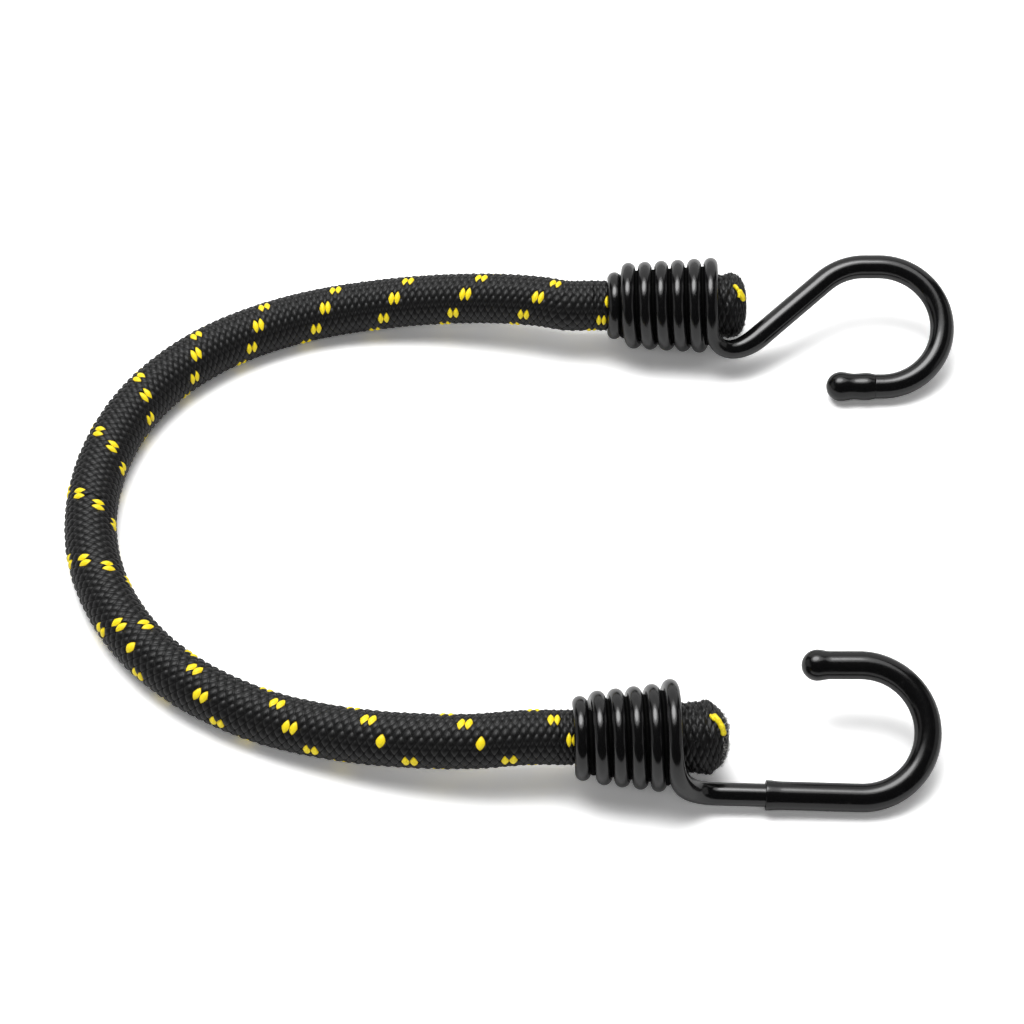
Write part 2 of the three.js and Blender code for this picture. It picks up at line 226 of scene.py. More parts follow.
def smooth_curve(points, pieces=60):
    """A smooth curve through the points, cut into short pieces."""
    points = np.array(points)
    before = 2 * points[0] - points[1]
    after = 2 * points[-1] - points[-2]
    all_points = np.vstack([before, points, after])
    made = [points[:1]]
    for a, b, c, d in zip(all_points, all_points[1:], all_points[2:], all_points[3:]):
        first, second, third = (np.linalg.norm(q - p) ** 0.5 for p, q in ((a, b), (b, c), (c, d)))
        leave = ((b - a) / first - (c - a) / (first + second) + (c - b) / second) * second
        arrive = ((c - b) / second - (d - b) / (second + third) + (d - c) / third) * second
        t = np.linspace(0, 1, pieces + 1)[1:, None]
        made.append(
            b * (2 * t**3 - 3 * t**2 + 1)
            + leave * (t**3 - 2 * t**2 + t)
            + c * (3 * t**2 - 2 * t**3)
            + arrive * (t**3 - t**2)
        )
    return np.vstack(made)


def cord_line():
    """From past one stub to past the other, with 0 at the mouth of the upper coil."""
    lying = CORD_RADIUS - LYING_FLAT
    climb = COIL_HEIGHT - lying
    route = [(x * MM, y * MM, lying + share * climb) for x, y, share in FREE_ROUTE]
    mouths = [
        [(hook.mouth, hook.axis, COIL_HEIGHT), (hook.mouth - CORD_RADIUS, hook.axis, COIL_HEIGHT)]
        for hook in (upper, lower)
    ]
    free = smooth_curve(mouths[0] + route + mouths[1][::-1])
    ends = [
        [(x, hook.axis, COIL_HEIGHT) for x in np.arange(hook.stub_end + 4 * MM, hook.mouth, -MM)]
        for hook in (upper, lower)
    ]
    before = np.linalg.norm(np.array(ends[0][0]) - free[0])
    line = Line(np.vstack([ends[0], free, ends[1][::-1]]) + SHIFT, -before)
    line.free_length = np.linalg.norm(np.diff(free, axis=0), axis=1).sum()
    return line


cord = cord_line()


# ---- the coils


def coil_radius(hook, turn):
    """A coil widens fast off its first loop, then as a cone, and the lower one again at its end."""
    flare = smooth(hook.flare_start, 1, turn) * (hook.shoulder - hook.bite)
    cone = np.maximum(turn - 1, 0) / (hook.turns - 1) * (hook.end - hook.shoulder)
    opening = smooth(hook.turns - 0.5, hook.turns, turn) * hook.growth
    return hook.bite + flare + cone + opening


def coil_x(hook, turn):
    """The loops lean towards the mouth at the front. The first one, which bites, stands square."""
    angle = turn * FULL_TURN
    back, aside = hook.lean
    top = hook.first_top + turn * COIL_PITCH
    leaning = top - back * (1 - np.cos(angle)) - aside * np.sin(angle)
    square = hook.first_loop_x + turn * hook.first_loop_pitch
    return square + (leaning - square) * smooth(0.5, 1, turn)


def coil_places(hook, turn):
    radius = coil_radius(hook, turn)
    angle = FIRST_TOP + turn * FULL_TURN
    across = hook.axis + radius * np.cos(angle)
    height = COIL_HEIGHT + radius * np.sin(angle)
    return np.stack([coil_x(hook, turn), across, height], axis=-1)


def room_inside(hook):
    """How wide the cord can be at each place in the coil, whichever way the hook is turned."""
    held = COIL_WIRE + GRIP_GAP
    turn = np.linspace(-LEAD_IN, hook.turns + hook.leaving, 1500)
    places = np.arange(hook.mouth, hook.stub_end + MM, 0.1 * MM)
    off = places[:, None] - coil_x(hook, turn)
    under = coil_radius(hook, turn) - np.sqrt(np.maximum(held**2 - off**2, 0))
    room = np.where(np.abs(off) < held, under, hook.stub).min(axis=1)
    return places, np.where(places < hook.first_loop_x, np.minimum(room, CORD_RADIUS), room)


for hook in (upper, lower):
    hook.room = room_inside(hook)
    hook.straight = hook.stub_end - hook.dome - hook.mouth


def gripped_radius(hook, x):
    return np.interp(x, *hook.room)


# ---- the braid

# ROWS of grains run along the cord, each cut CUTS times each way, with FILAMENTS across its yarn
ROWS = 22
CUTS = 6
AROUND = ROWS * CUTS
FILAMENTS = 9.0
GROOVE_DEPTH = 0.3 * MM
GRAIN_PROUD = 0.04 * MM
GRIPPED_STEP = 0.6 * MM
GRIPPED_STEPS = 70
DOME_ARC = 7 * MM
DOME_CLOSED = 0.96

# The tracer comes back after FLECK_REPEAT steps. It leans the other way past TRACER_TURNS, from
# the fleck at LOWER_FLECK on. Each fleck is fuller than its cell, and a pair is drawn together.
FLECK_REPEAT = 20
TRACER_TURNS = 0.16
LOWER_FLECK = 0.1614
FLECK_RISE = 1.15
FLECK_SWELL = 0.2
PAIR_PULL = 0.15


def grain_pitch(s):
    """How far apart the grains of one row lie. The braid is drawn out a little on the lower arm."""
    drawn_out = 0.33 * smooth(0.1, 0.205, s) - 0.3 * smooth(0.215, 0.243, s)
    return (1.465 - 0.03 * (1 - smooth(0, 0.028, s)) + drawn_out) * MM


def braid_turn(s):
    """The braid is twisted a few degrees along the cord."""
    return np.radians(17 + 9 * smooth(0, 0.15, s) - 2 * smooth(0.15, 0.18, s))


def braid_sway(s, angle):
    """The braid runs on a little further on one side of the cord than on the other."""
    turned = np.radians(-28 + 43 * smooth(0.14, 0.2, s))
    fading = smooth(0, 0.012, s) * (1 - smooth(cord.free_length - 0.012, cord.free_length, s))
    return -0.8 * MM * np.sin(angle - turned) * fading


def braid_steps():
    """Places along the cord of each half grain, with step 0 at the upper coil's mouth."""
    free = [0.0]
    while free[-1] < cord.free_length:
        free.append(free[-1] + grain_pitch(free[-1]) / 2)
    last = len(free) - 1
    free = np.array(free) * (cord.free_length / free[-1])
    before = -GRIPPED_STEP * np.arange(GRIPPED_STEPS, 0, -1)
    after = cord.free_length + GRIPPED_STEP * np.arange(1, GRIPPED_STEPS + 1)
    steps = np.arange(-GRIPPED_STEPS, last + GRIPPED_STEPS + 1)
    return steps, np.concatenate([before, free, after]), last


step_numbers, step_places, LAST_STEP = braid_steps()


def along_at(step):
    return np.interp(step, step_numbers, step_places)


def step_at(s):
    return np.interp(s, step_places, step_numbers)


FIRST_LOWER_FLECK = int(round(step_at(LOWER_FLECK) / 2)) * 2 - 1


def is_fleck(row, step):
    """Whether a grain shows the yellow tracer, as two neighbouring grains in every third row do.

    One row of the lower arm shows single grains for a while.
    """
    signed = (row + ROWS // 2) % ROWS - ROWS // 2
    place = along_at(step)
    one_way = (signed % 3 == 0) & np.isin((step - 10 + signed) % FLECK_REPEAT, (0, 2))
    lag = (step - FIRST_LOWER_FLECK - 5 * (signed - 1) // 3) % FLECK_REPEAT
    single = (signed == 1) & (place > 0.2) & (place < 0.24)
    other_way = ((signed - 1) % 3 == 0) & ((lag == 0) | ((lag == 2) & ~single))
    shown = (place > -4 * MM) & (place < cord.free_length + 3.4 * MM)
    return np.where(place < TRACER_TURNS, one_way, other_way) & shown


def end_profile(hook, depth):
    """From a depth past the mouth: x, the share of the width left and how far the skin faces on."""
    turned = np.clip((depth - hook.straight) / DOME_ARC, 0, 1) * math.pi / 2
    domed = hook.mouth + hook.straight + hook.dome * np.sin(turned)
    x = np.where(depth < hook.straight, hook.mouth + depth, domed)
    return x, np.cos(turned) ** 0.8, turned


def skin(s, angle):
    """The braid's skin at a distance along the cord and an angle round it.

    Gives the place, the direction outwards and the radius there.
    """
    centre, side, other = cord.at(s)
    radius = np.full(s.shape, CORD_RADIUS)
    facing = np.zeros(s.shape)
    for hook, depth in ((upper, -s), (lower, s - cord.free_length)):
        inside = depth > 0
        x, left, turned = end_profile(hook, np.maximum(depth, 0))
        stub = smooth(hook.first_top + hook.turns * COIL_PITCH, hook.stub_end - 4 * MM, x)
        twisting = np.sin(3 * angle + 1.3) + np.sin(5 * angle + 1900 * x)
        ragged = 0.1 * MM * stub * (twisting + np.sin(9 * angle - 2600 * x))
        for at, degrees, height, long, wide in hook.lumps:
            away = (np.degrees(angle) - degrees + 180) % 360 - 180
            lump = np.exp(-(((depth / MM - at) / long) ** 2) - (away / wide) ** 2)
            ragged = ragged + height * MM * lump
        radius = np.where(inside, (gripped_radius(hook, x) + ragged) * left, radius)
        facing = np.where(inside, turned, facing)
        centre[..., 0] = np.where(inside, x + SHIFT[0], centre[..., 0])
    radial = side * np.cos(angle)[..., None] + other * np.sin(angle)[..., None]
    outward = radial * np.cos(facing)[..., None] + ALONG_X * np.sin(facing)[..., None]
    return centre + radial * radius[..., None], outward, radius


def grain_height(across, along, lean):
    """A grain's dome over its cell, which leans the other way in every other row."""
    u = np.where(lean, across, along)
    v = np.where(lean, along, across)
    return (1 - u**2) ** 0.65 * (1 - np.abs(v) ** 2.6) ** 0.65


def braid_cells(first, last):
    """The grains between two steps, each a diamond cell.

    Gives each grain's step and row and, for each corner in its cell, a key that neighbours share
    and how far across and along the cell it is, from -1 to 1.
    """
    step, row = np.meshgrid(np.arange(first, last + 1), np.arange(ROWS), indexing="ij")
    grain = (step + row) % 2 == 0
    step, row = step[grain], row[grain]
    i, j = np.meshgrid(np.arange(CUTS + 1), np.arange(CUTS + 1), indexing="ij")
    turn = (row[:, None, None] * CUTS + i - j) % AROUND
    ahead = (step[:, None, None] - first) * CUTS + i + j
    keys = ahead * AROUND + turn
    across = np.broadcast_to(2 * i / CUTS - 1, keys.shape)
    along = np.broadcast_to(2 * j / CUTS - 1, keys.shape)
    return step, row, keys, across, along


def cell_corners(values):
    """The values at the four corners of each face of each cell."""
    corners = values[:, :-1, :-1], values[:, 1:, :-1], values[:, 1:, 1:], values[:, :-1, 1:]
    return np.stack(corners, axis=3)


def fleck_shifts(step, row, across, along):
    """How far a cell's corners move round and along the cord, because a fleck is fuller."""
    fleck = is_fleck(row, step)
    paired = (fleck & is_fleck(row, step + 2)).astype(float) - (fleck & is_fleck(row, step - 2))
    paired = paired[:, None, None]
    drawn_together = PAIR_PULL * paired * (1 - paired * (across + along) / 2)
    fuller = FLECK_SWELL * fleck[:, None, None]
    over = fuller * across * (1 - along**2) / 2
    onward = fuller * along * (1 - across**2) / 2
    spread = (over + onward) * np.where(paired * (over + onward) < 0, 0.4, 1.3)
    return over - onward, spread + drawn_together


def close_ends(places, outer_keys, inner_keys, first, last, domed):
    """The faces that close a sheath: a rim between its skins, or a pole on each skin of a dome.

    The poles are added to the places.
    """
    faces = []
    for at, sense in ((first, -1), (last, 1)):
        rim = np.arange(AROUND)
        zigzag = np.abs((rim - (at % 2) * CUTS) % (2 * CUTS) - CUTS)
        rim_keys = ((at - first + 1) * CUTS + sense * zigzag) * AROUND + rim
        outer_rim = np.searchsorted(outer_keys, rim_keys).tolist()
        inner_rim = (np.searchsorted(inner_keys, rim_keys[::CUTS]) + len(outer_keys)).tolist()
        if at == domed:
            for ring in (outer_rim, inner_rim):
                pole = len(places)
                places.append(np.mean([places[k] for k in ring], axis=0).tolist())
                faces += [(a, b, pole) for a, b in zip(ring, ring[1:] + ring[:1])]
        else:
            for k in range(ROWS):
                strip = [outer_rim[(k * CUTS + c) % AROUND] for c in range(CUTS + 1)]
                faces.append(strip + [inner_rim[(k + 1) % ROWS], inner_rim[k]])
    return faces


def mark_grains(mesh, fleck, shade, across, along, lean):
    """Marks each grain's faces with its tracer and shade, and maps them to its yarn."""
    faces = len(fleck) * CUTS * CUTS
    corners = np.array([len(p.vertices) for p in mesh.polygons])
    for label, values, plain in (("tracer", fleck, 0), ("grain_shade", shade, 0.5)):
        per_face = np.full(len(corners), plain, np.float32)
        per_face[:faces] = np.repeat(values, CUTS * CUTS)
        attribute = mesh.attributes.new(label, "FLOAT", "CORNER")
        attribute.data.foreach_set("value", np.repeat(per_face, corners))
    over = np.where(lean, across, along)
    on = np.where(lean, along, across)
    uv = np.full((corners.sum(), 2), 0.5, np.float32)
    uv[: faces * 4] = cell_corners(np.stack([(over + 1) / 2, (on + 1) / 2], axis=-1)).reshape(-1, 2)
    mesh.uv_layers.new(name="yarn").data.foreach_set("uv", uv.reshape(-1))


def braided_sheath(name, first, last, domed=None):
    """A closed braided tube between two steps, with each grain raised. A dome can close one end."""
    step, row, keys, across, along = braid_cells(first, last)
    lean = np.broadcast_to((row % 2 == 0)[:, None, None], keys.shape)
    outer_keys, where, found = np.unique(keys, return_index=True, return_inverse=True)
    found = found.reshape(keys.shape)
    chance = np.random.default_rng(500 + first).random((len(step), 2))
    fleck = is_fleck(row, step)
    free = (step >= 0) & (step <= LAST_STEP)
    rise = np.where(fleck & free, FLECK_RISE, 0.85 + 0.2 * chance[:, 0])[:, None, None]
    raised = (grain_height(across, along, lean) * rise).reshape(-1)[where]
    shifts = np.zeros((2, len(outer_keys)))
    for total, shift in zip(shifts, fleck_shifts(step, row, across, along)):
        np.add.at(total, found, shift)

    def lay(keys, sunk, aside=0, ahead=0):
        """Places on the skin, sunk below it and shifted round it and along it."""
        turn = keys % AROUND / CUTS + aside
        s = along_at((keys // AROUND + (first - 1) * CUTS) / CUTS + ahead)
        angle = turn * FULL_TURN / ROWS + braid_turn(s)
        place, outward, radius = skin(s + braid_sway(s, angle), angle)
        return place - outward * (sunk * np.minimum(radius / CORD_RADIUS, 1))[:, None]

    outer = lay(outer_keys, GROOVE_DEPTH - (GROOVE_DEPTH + GRAIN_PROUD) * raised, *shifts)
    outer[:, 2] = np.maximum(outer[:, 2], 0)
    corners = keys[:, [0, CUTS, CUTS, 0], [0, 0, CUTS, CUTS]]
    inner_keys, inner_found = np.unique(corners, return_inverse=True)
    inner = lay(inner_keys, np.full(inner_keys.shape, SHEATH_WALL))
    inner[:, 2] = np.maximum(inner[:, 2], 0.3 * MM)

    quads = cell_corners(found).reshape(-1, 4).tolist()
    inner_quads = (inner_found.reshape(corners.shape)[:, ::-1] + len(outer)).tolist()
    places = np.vstack([outer, inner]).tolist()
    closing = close_ends(places, outer_keys, inner_keys, first, last, domed)
    marks = fleck, chance[:, 1], across, along, lean
    return closed_piece(name, places, quads + inner_quads + closing, marks)


def pick(*pieces):
    """Selects these pieces alone, with the first one active."""
    bpy.ops.object.select_all(action="DESELECT")
    bpy.context.view_layer.objects.active = pieces[0]
    for piece in pieces:
        piece.select_set(True)


def closed_piece(name, places, faces, marks=None):
    """Makes a closed piece, smooth and facing outwards. A braid's grains are marked first."""
    mesh = bpy.data.meshes.new(name)
    mesh.from_pydata(places, [], faces)
    if marks:
        mark_grains(mesh, *marks)
    piece = bpy.data.objects.new(name, mesh)
    scene.collection.objects.link(piece)
    pick(piece)
    bpy.ops.object.mode_set(mode="EDIT")
    bpy.ops.mesh.select_all(action="SELECT")
    bpy.ops.mesh.normals_make_consistent(inside=False)
    bpy.ops.object.mode_set(mode="OBJECT")
    piece.select_set(False)
    mesh.shade_smooth()
    return piece


# ---- the rubber core


def rubber_strand(name, index, start, end):
    """One strand of the core. The first lies in the middle and the others round it."""
    places = np.append(np.arange(start, end, 0.9 * MM), end)
    room = np.full(places.shape, CORD_RADIUS)
    for hook, depth in ((upper, -places), (lower, places - cord.free_length)):
        gripped = gripped_radius(hook, hook.mouth + np.maximum(depth, 0))
        room = np.where(depth > 0, gripped, room)
    radius = (room - SHEATH_WALL - 2 * STRAND_GAP) / 3
    centre, side, other = cord.at(places)
    turn = (index - 1) * FULL_TURN / (STRANDS - 1)
    outwards = side * math.cos(turn) + other * math.sin(turn)
    shift = outwards * (2 * radius + STRAND_GAP)[:, None] if index else 0
    lines = []
    for k in range(STRAND_SIDES):
        angle = FULL_TURN * k / STRAND_SIDES
        outwards = side * math.cos(angle) + other * math.sin(angle)
        lines.append(centre + shift + outwards * radius[:, None])
    points = np.stack(lines, axis=1).reshape(-1, 3)
    rings = np.arange(len(points)).reshape(-1, STRAND_SIDES)
    onward = np.roll(rings, -1, axis=1)
    walls = np.stack([rings[:-1], onward[:-1], onward[1:], rings[1:]], axis=-1)
    faces = walls.reshape(-1, 4).tolist() + [rings[0, ::-1].tolist(), rings[-1].tolist()]
    return closed_piece(name, points.tolist(), faces)


# ---- wires, cap and sleeve


def in_hook_plane(hook, lift, x, b):
    """A place in a hook's tilted plane: x, and b across it from the coil's axis."""
    return np.array([x, hook.axis, COIL_HEIGHT]) + b * ACROSS + lift * OUT_OF_PLANE


def hook_line(hook, lift, moves):
    """The wire's line: along the coil, off its last turn, and on through straights and bends."""
    turns = np.linspace(-LEAD_IN, hook.turns + hook.leaving, TURN_PIECES * (hook.turns + 1))
    points = list(coil_places(hook, turns))
    leaving = points[-1] - points[-2]
    leaving /= np.linalg.norm(leaving)
    x, b = hook.shank_start
    direction = hook.shank_slope
    start = in_hook_plane(hook, lift, x, b)
    into = ALONG_X * math.cos(direction) + ACROSS * math.sin(direction)
    reach_out, reach_in = hook.exit_reach
    p0, p1, p2, p3 = points[-1], points[-1] + leaving * reach_out, start - into * reach_in, start
    coil_count = len(points)
    for t in np.linspace(0, 1, EXIT_PIECES + 1)[1:]:
        near, far = p0 * (1 - t) ** 3 + p1 * 3 * t * (1 - t) ** 2, p2 * 3 * t * t * (1 - t)
        points.append(near + far + p3 * t**3)
    for straight, turn in moves:
        bend = math.copysign(hook.bend, turn) if turn else 0
        x0, b0 = x, b
        cos, sin = math.cos(direction), math.sin(direction)
        for done in np.linspace(0, 1, MOVE_PIECES + 1)[1:]:
            turned = direction + turn * done
            x = x0 + cos * straight * done + bend * (math.sin(turned) - sin)
            b = b0 + sin * straight * done - bend * (math.cos(turned) - cos)
            points.append(in_hook_plane(hook, lift, x, b))
        direction += turn
    wire_count = len(points)
    cos, sin = math.cos(direction), math.sin(direction)
    for past in np.arange(1, PAST_TIP + 1) * MM:
        points.append(in_hook_plane(hook, lift, x + cos * past, b + sin * past))
    line = Line(np.array(points) + SHIFT)
    line.coil_end = line.along[coil_count - 1]
    line.end = line.along[wire_count - 1]
    return line


def drawn_tube(name, line, places, radii, sides=24, closed=True):
    """A round bar along a line: a corner is extruded from place to place, then made thick."""
    points, _, _ = line.at(np.array(places))
    bpy.ops.mesh.primitive_plane_add(size=MM, location=points[0])
    bpy.ops.object.mode_set(mode="EDIT")
    bpy.ops.mesh.merge(type="CENTER")
    for step in np.diff(points, axis=0):
        bpy.ops.mesh.extrude_region_move(TRANSFORM_OT_translate={"value": step})
    bpy.ops.object.mode_set(mode="OBJECT")
    bpy.ops.object.convert(target="CURVE")
    piece = bpy.context.object
    piece.name = name
    piece.data.dimensions = "3D"
    piece.data.bevel_depth = 1
    piece.data.bevel_resolution = sides // 2 - 2
    piece.data.use_fill_caps = False
    for point, radius in zip(piece.data.splines[0].points, radii):
        point.radius = radius
    bpy.ops.object.convert(target="MESH")
    bpy.ops.object.transform_apply(location=True, rotation=True, scale=True)
    bpy.ops.object.mode_set(mode="EDIT")
    bpy.ops.mesh.select_all(action="SELECT")
    bpy.ops.mesh.remove_doubles(threshold=0.004 * MM)
    if closed:
        bpy.ops.mesh.select_all(action="DESELECT")
        bpy.ops.mesh.select_non_manifold()
        bpy.ops.mesh.edge_face_add()
        bpy.ops.mesh.select_all(action="SELECT")
    bpy.ops.mesh.normals_make_consistent(inside=False)
    bpy.ops.object.mode_set(mode="OBJECT")
    bpy.ops.object.shade_smooth()
    piece.select_set(False)
    return piece


def rounded_start(radius):
    """Distances and widths of a round end at the start of a bar."""
    angles = np.radians([4, 15, 30, 45, 60, 75])
    return [(radius * (1 - math.cos(a)), radius * math.sin(a)) for a in angles]


def rounded_tip(centre, radius):
    """Distances and widths of the half ball at the end of a bar."""
    angles = np.radians(np.linspace(90, 3, 16))
    return [(centre + radius * math.cos(a), radius * math.sin(a)) for a in angles]


def hook_wire(name, hook, line, width_at, cover_start):
    """The dipped wire. It is thinner in the coil and goes on as a core inside its sleeve or cap."""
    profile = rounded_start(COIL_WIRE)
    for d in np.arange(COIL_WIRE, cover_start, 0.45 * MM):
        thick = smooth(line.coil_end, line.coil_end + hook.thickening, d)
        profile.append((d, COIL_WIRE + (width_at(d) - COIL_WIRE) * thick))
    last = profile[-1][1]
    profile += [(cover_start, last), (cover_start + 0.05 * MM, CORE_WIRE)]
    profile += [(d, CORE_WIRE) for d in np.arange(cover_start + MM, line.end - 0.4 * MM, MM)]
    places, radii = zip(*profile)
    wire = drawn_tube(name, line, places, radii)
    shade_between_turns(wire, hook)
    return wire


def shade_between_turns(wire, hook):
    """A dull, near-black bridge between the turns, as painted shade. It joins the wire's piece."""
    turn = np.arange(0.1, hook.turns - 0.45, 2 / TURN_PIECES)
    this_turn, next_turn = coil_places(hook, turn), coil_places(hook, turn + 1)
    apart = np.linalg.norm(next_turn - this_turn, axis=1)
    middle = (this_turn + next_turn) / 2
    inwards = np.array([0, hook.axis, COIL_HEIGHT]) - middle
    inwards[:, 0] = 0
    middle += inwards / np.linalg.norm(inwards, axis=1)[:, None] * BRIDGE_DEPTH
    line = Line(middle + SHIFT)
    radii = np.hypot(apart / 2, BRIDGE_DEPTH) - COIL_WIRE + BRIDGE_OVERLAP
    bridge = drawn_tube("bridge", line, line.along, radii, sides=12)
    wire.data.materials.append(dip_finish)
    # The bridge's dull near-black finish is painted shade.
    bridge.data.materials.append(gap_shade_finish)
    pick(wire, bridge)
    bpy.ops.object.join()
    wire.select_set(False)


def hook_cover(name, line, profile, wall, rim):
    """A sleeve or cap: its outside drawn along the wire, then its wall, and its mouth rounded."""
    piece = drawn_tube(name, line, *zip(*profile), sides=32, closed=False)
    pick(piece)
    shell = piece.modifiers.new("wall", "SOLIDIFY")
    shell.thickness = wall
    shell.offset = -1
    bpy.ops.object.modifier_apply(modifier="wall")
    edge = piece.modifiers.new("rim", "BEVEL")
    edge.width = rim
    edge.segments = 3
    edge.limit_method = "ANGLE"
    edge.angle_limit = math.radians(50)
    bpy.ops.object.modifier_apply(modifier="rim")
    bpy.ops.object.shade_smooth_by_angle(angle=math.radians(40))
    piece.select_set(False)
    piece.data.materials.append(vinyl_finish)
    return piece


# ---- loose yarns and fibres of the cut ends


def on_stub(hook, depth, degrees):
    """A place on the skin of a cut end, and the direction outwards there."""
    s = -depth if hook is upper else cord.free_length + depth
    place, outward, _ = skin(s, np.radians(degrees))
    return place, outward


def loose_yarn(name, hook, thickness, stops):
    """A short yarn on a cut end. Each stop is a depth past the mouth, degrees and a lift off it."""
    depth, degrees, lift = np.array(stops, float).T
    place, outward = on_stub(hook, depth * MM, degrees)
    line = Line(smooth_curve(place + outward * (lift * MM)[:, None], 14))
    radius = thickness / 2
    ends = [(0.02, 0.3), (0.12, 0.62), (0.35, 0.86), (0.7, 1)]
    profile = [(line.start + d * radius, w * radius) for d, w in ends]
    inner = np.arange(profile[-1][0] + 0.15 * MM, line.end - 0.8 * radius, 0.2 * MM)
    profile += [(d, radius * (1 + 0.06 * math.sin(5000 * d))) for d in inner]
    profile += [(line.end - d * radius, w * radius) for d, w in ends[::-1]]
    return drawn_tube(name, line, *zip(*profile), sides=12)


def loose_fibres(name, hook, count, longest, seed, spread):
    """Fine filaments that stand off a cut end. Each is a bent hair with three sides."""
    rng = np.random.default_rng(seed)
    depth = hook.straight / MM + rng.uniform(*spread, count)
    root, outward = on_stub(hook, depth * MM, rng.uniform(0, 360, count))
    aside = np.cross(outward, rng.normal(size=(count, 3)))
    aside /= np.linalg.norm(aside, axis=1)[:, None]
    third = np.cross(outward, aside)
    length = longest * (0.25 + 0.75 * rng.random(count) ** 2)
    rings = []
    for t, width in ((-0.15, 0.032), (0.3, 0.032), (0.7, 0.026), (1.0, 0.012)):
        middle = root + (outward * 0.75 * t + aside * 0.8 * t * abs(t)) * length[:, None]
        for angle in np.radians([0, 120, 240]):
            rings.append(middle + (aside * math.cos(angle) + third * math.sin(angle)) * width * MM)
    places = np.stack(rings, axis=1).reshape(-1, 3)
    faces = []
    for f in range(count):
        base = f * 12
        faces += [(base, base + 2, base + 1), (base + 9, base + 10, base + 11)]
        for r in range(3):
            for k in range(3):
                at, after = base + 3 * r + k, base + 3 * r + (k + 1) % 3
                faces.append((at, after, after + 3, at + 3))
    return closed_piece(name, places.tolist(), faces)


# ---- finishes


def grey(value):
    return value, value, value, 1


def put(tree, kind, inputs=None, **settings):
    """Adds a shader node. Each input is given as a value or as the output that feeds it."""
    node = tree.nodes.new(kind)
    for name, value in settings.items():
        setattr(node, name, value)
    for name, value in (inputs or {}).items():
        if isinstance(value, bpy.types.NodeSocket):
            tree.links.new(value, node.inputs[name])
        else:
            node.inputs[name].default_value = value
    return node


def calculated(tree, operation, first, second):
    return put(tree, "ShaderNodeMath", {0: first, 1: second}, operation=operation).outputs[0]


def ranged(tree, value, start, end, low=0.0, high=1.0):
    """Stretches a value so that start and end become low and high."""
    ends = {"From Min": start, "From Max": end, "To Min": low, "To Max": high}
    return put(tree, "ShaderNodeMapRange", {"Value": value, **ends}).outputs[0]


FLOAT, VECTOR = "NodeSocketFloat", "NodeSocketVector"


def effect(name, inputs, outputs):
    """An effect that several finishes share, with its named inputs and outputs."""
    group = bpy.data.node_groups.new(name, "ShaderNodeTree")
    for label, kind in inputs:
        group.interface.new_socket(name=label, in_out="INPUT", socket_type=kind)
    for label in outputs:
        group.interface.new_socket(name=label, in_out="OUTPUT", socket_type=FLOAT)
    given = group.nodes.new("NodeGroupInput").outputs
    return group, given, group.nodes.new("NodeGroupOutput").inputs


def make_filaments():
    """Fine filaments along a yarn, from how far across and along the yarn a place is."""
    inputs = [("Across", FLOAT), ("Along", FLOAT)]
    group, given, result = effect("yarn filaments", inputs, ["Height", "Shade"])
    lines = calculated(group, "MULTIPLY", given["Across"], FILAMENTS)
    place = put(group, "ShaderNodeCombineXYZ", {"X": lines, "Y": given["Along"]}).outputs[0]
    settings = {"Vector": place, "Scale": 1.0, "Detail": 2.0, "Roughness": 0.6}
    noise = put(group, "ShaderNodeTexNoise", settings).outputs["Fac"]
    group.links.new(ranged(group, noise, 0.3, 0.7), result["Height"])
    group.links.new(noise, result["Shade"])
    return group


def make_surface_grain():
    """A fine uneven grain of a given size, as a height and as a mask of its highest specks."""
    inputs = [("Vector", VECTOR), ("Scale", FLOAT), ("Specks", FLOAT)]
    group, given, result = effect("surface grain", inputs, ["Height", "Specks"])
    settings = {"Vector": given["Vector"], "Scale": given["Scale"], "Detail": 3.0}
    noise = put(group, "ShaderNodeTexNoise", settings).outputs["Fac"]
    group.links.new(noise, result["Height"])
    group.links.new(calculated(group, "GREATER_THAN", noise, given["Specks"]), result["Specks"])
    return group


filaments = make_filaments()
surface_grain = make_surface_grain()


def finish_material(name, **fixed):
    """A new material with its shader's plain values set, its node tree and its shader."""
    material = bpy.data.materials.new(name)
    material.use_nodes = True
    tree = material.node_tree
    shader = tree.nodes["Principled BSDF"]
    for label, value in fixed.items():
        shader.inputs[label.replace("_", " ")].default_value = value
    return material, tree, shader


def mixed(tree, share, first, second):
    """A mix of two colours. The node numbers its sockets for them 6 and 7, and its result 2."""
    node = put(tree, "ShaderNodeMix", {0: share, 6: first, 7: second}, data_type="RGBA")
    return node.outputs[2]


def coloured(tree, shader, share, first, second):
    tree.links.new(mixed(tree, share, first, second), shader.inputs["Base Color"])


def roughened(tree, shader, value, low, high):
    """Lets the roughness follow a value from 0 to 1."""
    tree.links.new(ranged(tree, value, 0, 1, low, high), shader.inputs["Roughness"])


def bumped(tree, shader, height, strength, distance):
    settings = {"Height": height, "Strength": strength, "Distance": distance}
    tree.links.new(put(tree, "ShaderNodeBump", settings).outputs[0], shader.inputs["Normal"])


def grained(tree, scale, specks):
    """The surface grain's height and specks, read from the object's own places."""
    place = put(tree, "ShaderNodeTexCoord").outputs["Object"]
    given = {"Vector": place, "Scale": scale, "Specks": specks}
    grain = put(tree, "ShaderNodeGroup", given, node_tree=surface_grain).outputs
    return grain["Height"], grain["Specks"]


def out_of_groove(tree, at):
    """0 in the grooves between the grains of the braid and 1 on the grains."""
    arches = []
    for axis in ("X", "Y"):
        left = calculated(tree, "SUBTRACT", 1.0, at[axis])
        arches.append(calculated(tree, "MULTIPLY", at[axis], left))
    return ranged(tree, calculated(tree, "MULTIPLY", *arches), 0.002, 0.014)


